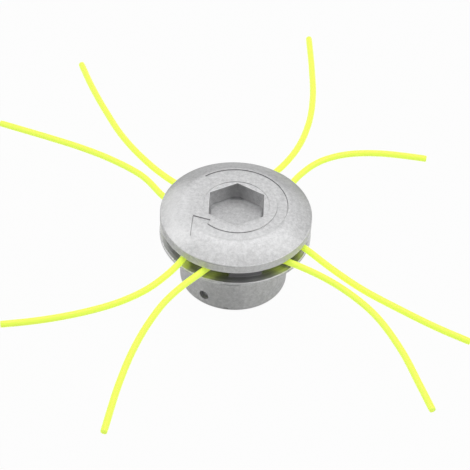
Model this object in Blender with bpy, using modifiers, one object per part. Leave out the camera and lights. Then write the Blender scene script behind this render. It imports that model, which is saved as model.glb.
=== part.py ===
# Fixed line trimmer head: two cast halves clamped by four screws, with four nylon lines held between them.
# Metres, +Z up. The head stands on the open end of its skirt, with the cover disc on top.
import math

import bmesh
import bpy
from mathutils import Matrix

# Cover disc
disc_radius = 0.0397
rim_height = 0.0050
rim_edge = 0.0007           # rounding of the rim's upper and lower corners
dome_rise = 0.0064          # from the rim's upper edge to the flat top
flat_radius = 0.028         # radius of the flat top
dome_power = 1.35           # 1 is a plain cone, more rolls the shoulder over
hex_across_flats = 0.0284   # wrench recess in the top
hex_depth = 0.0103
core_radius = 0.026         # four-lobed core below the disc, at its lobes
core_root = 0.0010          # how far the core is sunk into the disc

# Hub body
flange_overhang = 0.0001    # how far the flange stands out past the disc
flange_thickness = 0.0021
flange_edge = 0.0004
skirt_height = 0.0294       # from the standing edge to the flange's underside
skirt_wall = 0.0030
skirt_chamfer = 0.0006
cup_fillet = 0.0015
ceiling_thickness = 0.0047
boss_wall = 0.0042          # of the round boss about the arbor nut, inside the cup
boss_drop = 0.0050
pin_hole_radius = 0.0028
pin_hole_height = 0.0060
pin_hole_azimuth = math.radians(238.8)

# Line gap, its four posts and the lines round them
line_gap = 0.0071
post_count = 4
post_azimuth = math.radians(280.85)
post_width = 0.0174
post_setback = 0.0048       # how far the posts' outer faces stand back from the disc's edge
line_diameter = 0.0035
line_pass_radius = 0.0223   # the line's nearest distance from the axis
line_bend_radius = 0.0280
line_bend_angle = math.radians(36.0)   # turned on each side of the bend's middle
line_bend_offset = math.radians(1.25)  # the bend's middle, counterclockwise of its post's
line_lead_out = 0.0090      # straight stretch after the bend
line_rise = 0.00045         # how far the lines lie above the middle of the gap
line_droop = 0.0030
line_reach = 0.1200
line_step = 0.0060

# Fasteners and arbor nut
screw_boss_gap = 0.00275    # from the screw heads to the boss
screw_skirt_gap = 0.00175   # and to the skirt's inner wall
screw_radius = 0.0025
screw_length = 0.0140
screw_head_radius = 0.00425
screw_head_height = 0.0050
screw_key_across_flats = 0.0040
screw_key_depth = 0.0026
screw_point = 0.0005
washer_radius = 0.0044
washer_thickness = 0.0013
washer_split = 0.0008
nut_across_flats = 0.0190
nut_flange_thickness = 0.0026
nut_sleeve_radius = 0.0080
nut_sleeve_length = 0.0145
nut_bore_radius = 0.00435   # core hole of an M10 x 1.25 thread
nut_chamfer = 0.0007

clearance = 0.0003
cutter_margin = 0.0010
turned_steps = 72
small_steps = 24

# Sizes and heights that follow from the ones above
flange_radius = disc_radius + flange_overhang
post_face_radius = disc_radius - post_setback
boss_radius = nut_sleeve_radius + clearance + boss_wall
screw_circle_radius = boss_radius + screw_boss_gap + screw_head_radius
cup_radius = screw_circle_radius + screw_head_radius + screw_skirt_gap
skirt_radius = cup_radius + skirt_wall
flange_top = skirt_height + flange_thickness
ceiling_under = flange_top - ceiling_thickness
cover_under = flange_top + line_gap
rim_top = cover_under + rim_height
cover_top = rim_top + dome_rise
core_bottom = flange_top + clearance
hex_floor = cover_top - hex_depth
nut_pocket_top = core_bottom + nut_flange_thickness + clearance
line_height = flange_top + line_gap / 2 + line_rise
washer_top = ceiling_under - clearance
screw_seat = washer_top - washer_thickness - clearance
screw_tip = screw_seat + screw_length
bend_centre = line_pass_radius + line_bend_radius
hole_radius = screw_radius + clearance

# Free ends of the lines in plan, from the tip towards the head. Each line has a first end, clockwise of
# its post, and a second end, counterclockwise of it.
line_ends = {
    "trimmer_line_front": (
        [(-0.0570, -0.1435), (-0.0520, -0.1130), (-0.0475, -0.0940), (-0.0410, -0.0750),
         (-0.0325, -0.0575), (-0.0265, -0.0490)],
        [(0.0990, -0.1195), (0.0935, -0.1050), (0.0848, -0.0827), (0.0700, -0.0575),
         (0.0600, -0.0470), (0.0500, -0.0388)]),
    "trimmer_line_right": (
        [(0.1195, -0.0740), (0.1045, -0.0668), (0.0850, -0.0555), (0.0650, -0.0423),
         (0.0495, -0.0287)],
        [(0.1025, 0.0607), (0.0909, 0.0619), (0.0740, 0.0624), (0.0561, 0.0591),
         (0.0435, 0.0522), (0.0350, 0.0430)]),
    "trimmer_line_back": (
        [(0.0375, 0.1645), (0.0393, 0.1350), (0.0400, 0.1080), (0.0378, 0.0845),
         (0.0310, 0.0608), (0.0248, 0.0488)],
        [(-0.0930, 0.1293), (-0.0865, 0.1119), (-0.0755, 0.0870), (-0.0638, 0.0646),
         (-0.0505, 0.0463), (-0.0405, 0.0355)]),
    "trimmer_line_left": (
        [(-0.1325, 0.0737), (-0.1200, 0.0687), (-0.1025, 0.0617), (-0.0850, 0.0543),
         (-0.0681, 0.0455), (-0.0515, 0.0338)],
        [(-0.1138, -0.0784), (-0.1013, -0.0763), (-0.0859, -0.0726), (-0.0709, -0.0675),
         (-0.0563, -0.0606), (-0.0424, -0.0503), (-0.0344, -0.0411)]),
}


def clear_scene():
    for obj in list(bpy.data.objects):
        bpy.data.objects.remove(obj, do_unlink=True)


def new_collection(name):
    collection = bpy.data.collections.new(name)
    bpy.context.scene.collection.children.link(collection)
    return collection


def new_material(name, colour, metallic, roughness):
    material = bpy.data.materials.new(name)
    material.use_nodes = True
    shader = material.node_tree.nodes["Principled BSDF"]
    shader.inputs["Base Color"].default_value = (*colour, 1.0)
    shader.inputs["Metallic"].default_value = metallic
    shader.inputs["Roughness"].default_value = roughness
    material.diffuse_color = (*colour, 1.0)
    return material


clear_scene()
parts = new_collection("line_trimmer_head")
cutters = new_collection("cutters")
cast_aluminium = new_material("cast_aluminium", (0.62, 0.62, 0.63), 0.85, 0.5)
zinc_steel = new_material("zinc_steel", (0.55, 0.56, 0.58), 1.0, 0.32)
black_steel = new_material("black_steel", (0.05, 0.05, 0.055), 0.9, 0.4)
line_nylon = new_material("line_nylon", (0.80, 1.0, 0.05), 0.0, 0.4)


def add_object(name, data, collection):
    obj = bpy.data.objects.new(name, data)
    collection.objects.link(obj)
    return obj


def finish_piece(obj, material):
    obj.data.materials.clear()
    obj.data.materials.append(material)
    if obj.type == "MESH":
        obj.data.shade_smooth()
        obj.data.set_sharp_from_angle(angle=math.radians(30))


def make_cutter(obj):
    obj.hide_render = True
    obj.display_type = "WIRE"
    return obj


# A turned solid: the profile of (radius, height) points runs down its outer side
def turned(name, profile, closed, steps, collection=parts):
    mesh = bpy.data.meshes.new(name)
    count = len(profile)
    edges = [(i, i + 1) for i in range(count - 1)]
    if closed:
        edges.append((count - 1, 0))
    mesh.from_pydata([(r, 0.0, z) for r, z in profile], edges, [])
    obj = add_object(name, mesh, collection)
    screw = obj.modifiers.new("turn", "SCREW")
    screw.axis = "Z"
    screw.angle = math.tau
    screw.steps = steps
    screw.render_steps = steps
    screw.use_merge_vertices = True
    screw.merge_threshold = 0.00001
    screw.use_smooth_shade = True
    return obj


# An upright prism on a flat outline of (x, y) points, counterclockwise
def prism(name, outline, z_low, z_high, collection=cutters):
    mesh = bpy.data.meshes.new(name)
    shape = bmesh.new()
    face = shape.faces.new([shape.verts.new((x, y, z_low)) for x, y in outline])
    raised = bmesh.ops.extrude_face_region(shape, geom=[face])
    top = [v for v in raised["geom"] if isinstance(v, bmesh.types.BMVert)]
    bmesh.ops.translate(shape, verts=top, vec=(0.0, 0.0, z_high - z_low))
    bmesh.ops.recalc_face_normals(shape, faces=shape.faces[:])
    shape.to_mesh(mesh)
    shape.free()
    return add_object(name, mesh, collection)


def cylinder(name, radius, z_low, z_high, steps=small_steps, collection=cutters):
    mesh = bpy.data.meshes.new(name)
    shape = bmesh.new()
    middle = Matrix.Translation((0.0, 0.0, (z_low + z_high) / 2))
    bmesh.ops.create_cone(shape, cap_ends=True, segments=steps, radius1=radius, radius2=radius,
                          depth=z_high - z_low, matrix=middle)
    shape.to_mesh(mesh)
    shape.free()
    return add_object(name, mesh, collection)


def boolean(target, tool, operation="DIFFERENCE"):
    modifier = target.modifiers.new(tool.name, "BOOLEAN")
    modifier.operation = operation
    modifier.solver = "EXACT"
    modifier.object = tool
    make_cutter(tool)


def hexagon(across_flats, first_corner):
    corner_radius = across_flats / math.sqrt(3)
    angles = [first_corner + math.radians(60 * k) for k in range(6)]
    return [(corner_radius * math.cos(a), corner_radius * math.sin(a)) for a in angles]


def quarter(centre_r, centre_z, radius, start, end, count=4):
    angles = [math.radians(start + (end - start) * k / (count - 1)) for k in range(count)]
    return [(centre_r + radius * math.cos(a), centre_z + radius * math.sin(a)) for a in angles]


# Plan coordinates about a post: side is counterclockwise of its middle line, out is away from the axis
def from_post(azimuth, side, out):
    x = out * math.cos(azimuth) - side * math.sin(azimuth)
    y = out * math.sin(azimuth) + side * math.cos(azimuth)
    return (x, y)


def post_azimuths():
    return [post_azimuth + math.tau * k / post_count for k in range(post_count)]


def bend_azimuths():
    return [azimuth + line_bend_offset for azimuth in post_azimuths()]


def screw_places():
    places = []
    for azimuth in bend_azimuths():
        between = azimuth + math.pi / post_count
        places.append((screw_circle_radius * math.cos(between), screw_circle_radius * math.sin(between)))
    return places


# Lobed outline of the core: hollowed towards each post for the line's bend, round at the lobes between
def core_outline():
    hollow = line_bend_radius + line_diameter / 2 + clearance * 5
    cosine = (core_radius ** 2 + bend_centre ** 2 - hollow ** 2) / (2 * core_radius * bend_centre)
    meet = math.acos(cosine)
    outline = []
    swing = math.asin(core_radius * math.sin(meet) / hollow)
    for azimuth in bend_azimuths():
        for k in range(11):
            angle = -swing + 2 * swing * k / 10
            outline.append(from_post(azimuth, hollow * math.sin(angle), bend_centre - hollow * math.cos(angle)))
        for k in range(1, 5):
            angle = azimuth + meet + (math.tau / post_count - 2 * meet) * k / 5
            outline.append((core_radius * math.cos(angle), core_radius * math.sin(angle)))
    return outline


# Outline of a post: its outer face follows the rim, its inner face follows the line's bend
def post_outline(azimuth):
    half = post_width / 2
    inner_radius = line_bend_radius - line_diameter / 2 - clearance
    outer_swing = math.asin(half / post_face_radius)
    inner_swing = math.asin(half / inner_radius)
    outline = []
    for k in range(7):
        angle = -outer_swing + 2 * outer_swing * k / 6
        outline.append(from_post(azimuth, post_face_radius * math.sin(angle), post_face_radius * math.cos(angle)))
    for k in range(7):
        angle = inner_swing - 2 * inner_swing * k / 6
        side = inner_radius * math.sin(angle)
        out = bend_centre - inner_radius * math.cos(angle)
        outline.append(from_post(azimuth + line_bend_offset, side, out))
    return outline


def dome_profile(count=9):
    last = disc_radius - rim_edge
    points = []
    for k in range(count):
        share = k / (count - 1)
        radius = flat_radius + (last - flat_radius) * share
        points.append((radius, cover_top - dome_rise * share ** dome_power))
    return points


def build_cover_disc():
    profile = [(0.0, cover_top)]
    profile += dome_profile()
    profile += quarter(disc_radius - rim_edge, rim_top - rim_edge, rim_edge, 60, 0, 3)
    profile += quarter(disc_radius - rim_edge, cover_under + rim_edge, rim_edge, 0, -90, 3)
    profile += [(0.0, cover_under)]
    cover = turned("cover_disc", profile, False, turned_steps)
    boolean(cover, prism("core", core_outline(), core_bottom, cover_under + core_root), "UNION")
    recess = hexagon(hex_across_flats, math.radians(30))
    boolean(cover, prism("hex_recess", recess, hex_floor, cover_top + cutter_margin))
    pocket = hexagon(nut_across_flats + 2 * clearance, math.radians(30))
    boolean(cover, prism("nut_pocket", pocket, core_bottom - cutter_margin, nut_pocket_top))
    for number, (x, y) in enumerate(screw_places(), 1):
        hole = cylinder(f"screw_thread_{number}", hole_radius, core_bottom - cutter_margin, screw_tip + screw_point)
        hole.location = (x, y, 0.0)
        boolean(cover, hole)
    finish_piece(cover, cast_aluminium)


def build_hub_body():
    bore = nut_sleeve_radius + clearance
    boss_under = ceiling_under - boss_drop
    profile = [(flange_radius - flange_edge, flange_top), (flange_radius, flange_top - flange_edge)]
    profile += [(flange_radius, skirt_height + flange_edge), (flange_radius - flange_edge, skirt_height)]
    profile += quarter(skirt_radius + cup_fillet, skirt_height - cup_fillet, cup_fillet, 90, 180)
    profile += [(skirt_radius, skirt_chamfer), (skirt_radius - skirt_chamfer, 0.0)]
    profile += [(cup_radius + skirt_chamfer, 0.0), (cup_radius, skirt_chamfer)]
    profile += quarter(cup_radius - cup_fillet, ceiling_under - cup_fillet, cup_fillet, 0, 90)
    profile += quarter(boss_radius + cup_fillet, ceiling_under - cup_fillet, cup_fillet, 90, 180)
    profile += [(boss_radius, boss_under), (bore, boss_under), (bore, flange_top)]
    hub = turned("hub_body", profile, True, turned_steps)
    for number, azimuth in enumerate(post_azimuths(), 1):
        low = flange_top - flange_thickness / 2
        boolean(hub, prism(f"post_{number}", post_outline(azimuth), low, cover_under - clearance), "UNION")
    for number, (x, y) in enumerate(screw_places(), 1):
        hole = cylinder(f"screw_hole_{number}", hole_radius, ceiling_under - cutter_margin,
                        flange_top + cutter_margin)
        hole.location = (x, y, 0.0)
        boolean(hub, hole)
    pin = cylinder("pin_hole", pin_hole_radius, cup_radius - 2 * cutter_margin, skirt_radius + 2 * cutter_margin)
    pin.matrix_world = (Matrix.Translation((0.0, 0.0, pin_hole_height))
                        @ Matrix.Rotation(pin_hole_azimuth, 4, "Z") @ Matrix.Rotation(math.pi / 2, 4, "Y"))
    boolean(hub, pin)
    finish_piece(hub, cast_aluminium)


def build_arbor_nut():
    low = core_bottom - nut_sleeve_length
    inside_flange = core_bottom + nut_flange_thickness / 2
    sleeve = [(0.0, inside_flange), (nut_sleeve_radius, inside_flange), (nut_sleeve_radius, low + nut_chamfer)]
    sleeve += [(nut_sleeve_radius - nut_chamfer, low), (0.0, low)]
    nut = turned("arbor_nut", sleeve, False, small_steps * 2)
    flange = prism("nut_flange", hexagon(nut_across_flats, math.radians(30)), core_bottom,
                   core_bottom + nut_flange_thickness)
    boolean(nut, flange, "UNION")
    above = core_bottom + nut_flange_thickness + cutter_margin
    bore = [(0.0, above), (nut_bore_radius, above), (nut_bore_radius, low + nut_chamfer)]
    bore += [(nut_bore_radius + nut_chamfer + cutter_margin, low - cutter_margin), (0.0, low - cutter_margin)]
    boolean(nut, turned("nut_bore", bore, False, small_steps * 2, cutters))
    finish_piece(nut, zinc_steel)


def build_screw(number, x, y):
    bottom = screw_seat - screw_head_height
    profile = [(0.0, screw_tip), (screw_radius - screw_point, screw_tip), (screw_radius, screw_tip - screw_point)]
    profile += [(screw_radius, screw_seat), (screw_head_radius, screw_seat)]
    profile += [(screw_head_radius, bottom + screw_point), (screw_head_radius - screw_point, bottom), (0.0, bottom)]
    screw = turned(f"clamp_screw_{number}", profile, False, small_steps)
    screw.location = (x, y, 0.0)
    key = prism(f"screw_key_{number}", hexagon(screw_key_across_flats, 0.0), bottom - cutter_margin,
                bottom + screw_key_depth)
    key.location = (x, y, 0.0)
    boolean(screw, key)
    finish_piece(screw, black_steel)


def build_lock_washer(number, x, y):
    low = washer_top - washer_thickness
    profile = [(washer_radius, washer_top), (washer_radius, low), (hole_radius, low), (hole_radius, washer_top)]
    washer = turned(f"lock_washer_{number}", profile, True, small_steps)
    washer.location = (x, y, 0.0)
    half = washer_split / 2
    split = prism(f"washer_split_{number}", [(0.0, -half), (2 * washer_radius, -half), (2 * washer_radius, half),
                                             (0.0, half)], low - cutter_margin, washer_top + cutter_margin)
    split.location = (x, y, 0.0)
    boolean(washer, split)
    finish_piece(washer, zinc_steel)


# Height of a line's centre at a distance from the axis: level inside the head, sagging towards the tip
def line_z(x, y):
    beyond = max(0.0, math.hypot(x, y) - disc_radius)
    return line_height - line_droop * (beyond / line_reach) ** 2


def bend_points(azimuth):
    start = math.sin(line_bend_angle) * line_bend_radius
    lead = (math.cos(line_bend_angle) * line_lead_out, math.sin(line_bend_angle) * line_lead_out)
    end_out = bend_centre - line_bend_radius * math.cos(line_bend_angle)
    points = [from_post(azimuth, -start - lead[0], end_out + lead[1])]
    for k in range(9):
        angle = -line_bend_angle + 2 * line_bend_angle * k / 8
        points.append(from_post(azimuth, line_bend_radius * math.sin(angle),
                                bend_centre - line_bend_radius * math.cos(angle)))
    points.append(from_post(azimuth, start + lead[0], end_out + lead[1]))
    return points


# A smooth curve through the given points, read at even steps
def smooth_route(points, step):
    gaps = [math.dist(a, b) for a, b in zip(points, points[1:])]
    runs = [[(q - p) / gap for p, q in zip(a, b)] for a, b, gap in zip(points, points[1:], gaps)]
    slopes = [runs[0]]
    for i in range(1, len(runs)):
        share = gaps[i - 1] / (gaps[i - 1] + gaps[i])
        slopes.append([before * (1 - share) + after * share for before, after in zip(runs[i - 1], runs[i])])
    slopes.append(runs[-1])
    fine = []
    for i, gap in enumerate(gaps):
        for k in range(20):
            t = k / 20
            fine.append([
                p * (2 * t ** 3 - 3 * t ** 2 + 1) + q * (3 * t ** 2 - 2 * t ** 3)
                + gap * (m * (t ** 3 - 2 * t ** 2 + t) + n * (t ** 3 - t ** 2))
                for p, q, m, n in zip(points[i], points[i + 1], slopes[i], slopes[i + 1])])
    fine.append(points[-1])
    travelled = [0.0]
    for a, b in zip(fine, fine[1:]):
        travelled.append(travelled[-1] + math.dist(a, b))
    count = round(travelled[-1] / step)
    route = []
    i = 0
    for k in range(count + 1):
        target = travelled[-1] * k / count
        while i < len(fine) - 2 and travelled[i + 1] < target:
            i += 1
        share = (target - travelled[i]) / (travelled[i + 1] - travelled[i])
        route.append([p + (q - p) * share for p, q in zip(fine[i], fine[i + 1])])
    return route


def build_line(name, azimuth):
    first_end, second_end = line_ends[name]
    plan = smooth_route(first_end + bend_points(azimuth) + second_end[::-1], line_step)
    curve = bpy.data.curves.new(name, "CURVE")
    curve.dimensions = "3D"
    spline = curve.splines.new("POLY")
    spline.points.add(len(plan) - 1)
    for point, (x, y) in zip(spline.points, plan):
        point.co = (x, y, line_z(x, y), 1.0)
    curve.bevel_depth = line_diameter / 2
    curve.bevel_resolution = 2
    curve.use_fill_caps = True
    obj = add_object(name, curve, parts)
    finish_piece(obj, line_nylon)


build_cover_disc()
build_hub_body()
build_arbor_nut()
for number, (x, y) in enumerate(screw_places(), 1):
    build_screw(number, x, y)
    build_lock_washer(number, x, y)
for name, azimuth in zip(line_ends, bend_azimuths()):
    build_line(name, azimuth)
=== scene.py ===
import math
from functools import partial

import bmesh
import bpy
from mathutils import Matrix, Vector
from mathutils.geometry import delaunay_2d_cdt


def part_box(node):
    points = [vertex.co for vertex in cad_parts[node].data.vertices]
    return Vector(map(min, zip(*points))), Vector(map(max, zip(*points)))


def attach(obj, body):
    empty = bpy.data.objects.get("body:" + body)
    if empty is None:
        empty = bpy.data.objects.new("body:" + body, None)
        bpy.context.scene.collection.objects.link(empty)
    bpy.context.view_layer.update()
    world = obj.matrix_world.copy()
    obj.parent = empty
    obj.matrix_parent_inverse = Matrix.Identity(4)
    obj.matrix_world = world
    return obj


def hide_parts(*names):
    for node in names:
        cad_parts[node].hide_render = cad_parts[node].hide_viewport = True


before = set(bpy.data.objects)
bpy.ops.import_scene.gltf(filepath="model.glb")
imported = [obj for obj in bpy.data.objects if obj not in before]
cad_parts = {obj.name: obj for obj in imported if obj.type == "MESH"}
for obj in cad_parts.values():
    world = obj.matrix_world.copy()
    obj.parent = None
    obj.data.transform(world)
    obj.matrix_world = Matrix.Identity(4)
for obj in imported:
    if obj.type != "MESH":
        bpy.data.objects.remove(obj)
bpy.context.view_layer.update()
print("frame loaded with", len(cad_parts), "nodes")

coverLow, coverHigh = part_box("cover_disc")
_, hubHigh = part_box("hub_body")
nutLow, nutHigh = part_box("arbor_nut")
screwLow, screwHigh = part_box("clamp_screw_1")
washerLow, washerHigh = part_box("lock_washer_1")
mm = 0.001


# Camera: the photograph's view, about a metre off and a little rolled
cameraSet = {
    "elevation": math.radians(43.964),
    "roll": math.radians(2.919),
    "distance": 1.0,
    "aimHeight": 27.43 * mm,
    "lens": 145.29,
    "sensor": 36.0,
}


def makeCamera(s):
    data = bpy.data.cameras.new("camera")
    data.lens = s["lens"]
    data.sensor_width = s["sensor"]
    camera = bpy.data.objects.new("camera", data)
    bpy.context.scene.collection.objects.link(camera)
    back = Vector((0, -math.cos(s["elevation"]), math.sin(s["elevation"])))
    place = Vector((0, 0, s["aimHeight"])) + back * s["distance"]
    tilt = Matrix.Rotation(math.pi / 2 - s["elevation"], 4, "X")
    camera.matrix_world = Matrix.Translation(place) @ tilt @ Matrix.Rotation(s["roll"], 4, "Z")
    bpy.context.scene.camera = camera


makeCamera(cameraSet)


# Small helpers for meshes and nodes
def newObject(name, mesh):
    ob = bpy.data.objects.new(name, mesh)
    bpy.context.scene.collection.objects.link(ob)
    return ob


# Sets a socket, or links it where the value is another node's output
def feed(tree, socket, value):
    if isinstance(value, bpy.types.NodeSocket):
        tree.links.new(value, socket)
    else:
        socket.default_value = value


def addNode(tree, kind, settings=None, **inputs):
    node = tree.nodes.new(kind)
    for key, value in (settings or {}).items():
        setattr(node, key, value)
    for key, value in inputs.items():
        feed(tree, node.inputs[key.replace("_", " ")], value)
    return node


def addMath(tree, operation, first, second):
    node = addNode(tree, "ShaderNodeMath", {"operation": operation})
    feed(tree, node.inputs[0], first)
    feed(tree, node.inputs[1], second)
    return node.outputs[0]


# A colour mix keeps its share in socket 0 and its colours in sockets 6 and 7
def addMix(tree, share, first, second):
    node = addNode(tree, "ShaderNodeMix", {"data_type": "RGBA"})
    for index, value in ((0, share), (6, first), (7, second)):
        feed(tree, node.inputs[index], value)
    return node.outputs[2]


def addMapRange(tree, value, fromRange, toRange=(0.0, 1.0)):
    node = addNode(tree, "ShaderNodeMapRange", Value=value, From_Min=fromRange[0], From_Max=fromRange[1],
                   To_Min=toRange[0], To_Max=toRange[1])
    return node.outputs["Result"]


# Evenly spaced values, both ends included
def spread(low, high, count):
    return [low + (high - low) * k / (count - 1) for k in range(count)]


def polar(radius, angle, centre=(0.0, 0.0)):
    return (centre[0] + radius * math.cos(angle), centre[1] + radius * math.sin(angle))


def arc(centre, radius, start, end, count):
    return [polar(radius, angle, centre) for angle in spread(start, end, count)]


def circle(radius, count, centre=(0.0, 0.0)):
    return [polar(radius, math.tau * k / count, centre) for k in range(count)]


# Moves a counterclockwise outline outwards by a distance
def offset(outline, distance):
    moved = []
    count = len(outline)
    for i, (x, y) in enumerate(outline):
        before, after = outline[i - 1], outline[(i + 1) % count]
        a = Vector((x - before[0], y - before[1])).normalized()
        b = Vector((after[0] - x, after[1] - y)).normalized()
        side = Vector((a.y + b.y, -a.x - b.x))
        side /= max(side.length_squared / 2, 0.5)
        moved.append((x + side.x * distance, y + side.y * distance))
    return moved


def inside(x, y, outline):
    hit = False
    for (x1, y1), (x2, y2) in zip(outline, outline[1:] + outline[:1]):
        if (y1 > y) != (y2 > y) and x < (x2 - x1) * (y - y1) / (y2 - y1) + x1:
            hit = not hit
    return hit


# Replaces each sharp corner of an outline with a small curve that starts and ends at a reach from it
def softened(outline, reach, sharpest=math.radians(30), steps=7):
    soft = []
    count = len(outline)
    for i, point in enumerate(outline):
        p = Vector(point)
        a, b = Vector(outline[i - 1]) - p, Vector(outline[(i + 1) % count]) - p
        if math.pi - a.angle(b) < sharpest:
            soft.append(point)
            continue
        start = p + a.normalized() * min(reach, a.length * 0.9)
        end = p + b.normalized() * min(reach, b.length * 0.9)
        for t in spread(0, 1, steps):
            soft.append(tuple(start * (1 - t) ** 2 + p * 2 * t * (1 - t) + end * t ** 2))
    return soft


# Points at even steps along a closed outline, corners kept
def refined(outline, step):
    fine = []
    for a, b in zip(outline, outline[1:] + outline[:1]):
        count = max(1, round(math.dist(a, b) / step))
        fine += [tuple(p + (q - p) * k / count for p, q in zip(a, b)) for k in range(count)]
    return fine


# A casting grows in one bmesh from sheets, which are seen in plan, and turned walls between them.
# Each vertex also holds a tone: above nought brighter, for worn edges and painted light and highlights,
# below nought darker, for painted shade.
def newShape():
    shape = bmesh.new()
    shape.verts.layers.float.new("paintedLightAndWear")
    return shape


def addVert(shape, x, y, z, lightAndWear=0.0):
    vert = shape.verts.new((x, y, z))
    vert[shape.verts.layers.float["paintedLightAndWear"]] = lightAndWear
    return vert


# A sheet through closed loops of (outline, height, tone), with free spots between them; the tone is the
# vertex's painted light and shade and its wear. Height and tone may each be one number or a function of x
# and y. The holes are outlines that stay open.
def addSheet(shape, loops, spots=(), holes=()):
    points, edges = [], []
    for outline, height, lightAndWear in loops:
        first, count = len(points), len(outline)
        for x, y in outline:
            values = (value(x, y) if callable(value) else value for value in (height, lightAndWear))
            points.append((x, y, *values))
        edges += [(first + i, first + (i + 1) % count) for i in range(count)]
    points += [(x, y, z, 0.0) for x, y, z in spots]
    plan = [Vector((x / mm, y / mm)) for x, y, z, lightAndWear in points]
    wholeHull, tolerance = 0, 1e-5
    plan, edges, faces, sources, _, _ = delaunay_2d_cdt(plan, edges, [], wholeHull, tolerance)
    verts = [addVert(shape, p.x * mm, p.y * mm, *points[source[0]][2:])
             for p, source in zip(plan, sources)]
    for face in faces:
        x, y = (sum(plan[i][axis] for i in face) / 3 * mm for axis in (0, 1))
        if not any(inside(x, y, hole) for hole in holes):
            shape.faces.new([verts[i] for i in face])
    for vert in verts:
        if not vert.link_faces:
            shape.verts.remove(vert)


# Faces between rings of as many vertices each
def joinRings(shape, rings):
    for ring, after in zip(rings, rings[1:]):
        for i in range(len(ring)):
            k = (i + 1) % len(ring)
            shape.faces.new((ring[i], ring[k], after[k], after[i]))


# From nought at low to one at high, with a soft start and end
def ramp(value, low, high):
    t = min(1.0, max(0.0, (value - low) / (high - low)))
    return t * t * (3 - 2 * t)


# Painted light and shade at a place: the sum of patches, each a tone and the band of each coordinate that
# it lies in. A band rises between its first two limits and may fall between two more. The coordinate back
# is one straight behind the axis.
def patches(lightAndWear, x, y, z=0.0):
    radius = math.hypot(x, y)
    at = {"x": x, "y": y, "z": z, "radius": radius, "turn": math.degrees(math.atan2(y, x)),
          "back": y / max(radius, mm)}
    total = 0.0
    for tone, bands in lightAndWear:
        for name, (start, full, *fall) in bands.items():
            tone *= ramp(at[name], start, full) * (1 - ramp(at[name], *fall) if fall else 1)
        total += tone
    return total


# Adds painted light and shade to each vertex's tone: tone is a function of a vertex's place
def addPaintedLightAndShade(shape, tone):
    layer = shape.verts.layers.float["paintedLightAndWear"]
    for vert in shape.verts:
        vert[layer] += tone(*vert.co)


# A wall turned about an upright line, from rings of (radius, height, tone of painted light, shade and
# wear)
def addTurned(shape, profile, count, centre=(0.0, 0.0)):
    joinRings(shape, [[addVert(shape, x, y, z, lightAndWear) for x, y in circle(r, count, centre)]
                      for r, z, lightAndWear in profile])


def rounding(r, z, radius, start, end, lightAndWear=0.0, count=5):
    return [(x, y, lightAndWear) for x, y in arc((r, z), radius, math.radians(start), math.radians(end), count)]


# Spots on rings at an even spacing, kept clear of the loops
def freeSpots(loops, low, high, spacing, height, clear=0.6 * mm):
    taken = {}
    for outline, _, _ in loops:
        for x, y in outline:
            taken.setdefault((round(x / clear), round(y / clear)), []).append((x, y))
    spots = []
    for k in range(round((high - low) / spacing)):
        radius = low + spacing * (k + 0.5)
        for x, y in circle(radius, max(6, round(math.tau * radius / spacing))):
            i, j = round(x / clear), round(y / clear)
            near = [p for a in (-1, 0, 1) for b in (-1, 0, 1) for p in taken.get((i + a, j + b), [])]
            if all(math.dist((x, y), p) > clear for p in near):
                spots.append((x, y, height(x, y)))
    return spots


def toMesh(shape, name):
    mesh = bpy.data.meshes.new(name)
    shape.to_mesh(mesh)
    shape.free()
    return mesh


# Faces of a casting or line, or of a turned steel part, that meet at more than this keep a sharp edge
castSharp, turnedSharp = math.radians(50), math.radians(35)


def closedMesh(shape, name, sharpAngle=castSharp, weld=0.002 * mm):
    bmesh.ops.remove_doubles(shape, verts=shape.verts, dist=weld)
    bmesh.ops.recalc_face_normals(shape, faces=shape.faces)
    openEdges = sum(1 for edge in shape.edges if not edge.is_manifold)
    mesh = toMesh(shape, name)
    mesh.shade_smooth()
    mesh.set_sharp_from_angle(angle=sharpAngle)
    print(name, len(mesh.polygons), "faces,", openEdges, "open edges")
    return mesh


# The four posts, and the lines' bends round them, are placed as in the solids
layout = {
    "postCount": 4,
    "postAzimuth": math.radians(280.85),
    "bendOffset": math.radians(1.25),
    "passRadius": 22.3 * mm,
    "bendRadius": 28.0 * mm,
    "bendAngle": math.radians(36.0),
    "leadOut": 9.0 * mm,
    "gap": 7.1 * mm,
    "lineHeight": 35.5 * mm,
    "lineDiameter": 3.5 * mm,
    "screwCircle": Vector(((screwLow.x + screwHigh.x) / 2, (screwLow.y + screwHigh.y) / 2)).length,
    "clearance": 0.3 * mm,
    "turned": (17.5 * mm, 39.1 * mm),
}
quarter = math.tau / layout["postCount"]
postAzimuths = [layout["postAzimuth"] + quarter * k for k in range(layout["postCount"])]
bendAzimuths = [azimuth + layout["bendOffset"] for azimuth in postAzimuths]
screwAzimuths = [azimuth + quarter / 2 for azimuth in bendAzimuths]
screwPlaces = [polar(layout["screwCircle"], azimuth) for azimuth in screwAzimuths]
bendCentre = layout["passRadius"] + layout["bendRadius"]


# A plan point from distances square to an azimuth and along it
def fromPost(azimuth, side, out):
    x = out * math.cos(azimuth) - side * math.sin(azimuth)
    y = out * math.sin(azimuth) + side * math.cos(azimuth)
    return (x, y)


# A plan point at a radius and angle about the centre of a line's bend
def onBend(azimuth, radius, angle):
    return fromPost(azimuth, radius * math.sin(angle), bendCentre - radius * math.cos(angle))


def emptyTree(owner):
    owner.use_nodes = True
    owner.node_tree.nodes.clear()
    return owner.node_tree


# Materials: own holds the values that are the same all over a surface
def newMaterial(name, own):
    material = bpy.data.materials.new(name)
    tree = emptyTree(material)
    shader = addNode(tree, "ShaderNodeBsdfPrincipled", **own)
    addNode(tree, "ShaderNodeOutputMaterial", Surface=shader.outputs["BSDF"])
    return material, tree, shader


def objectCoords(tree):
    return addNode(tree, "ShaderNodeTexCoord").outputs["Object"]


def addNoise(tree, vector, values):
    return addNode(tree, "ShaderNodeTexNoise", Vector=vector, **values).outputs["Fac"]


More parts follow.
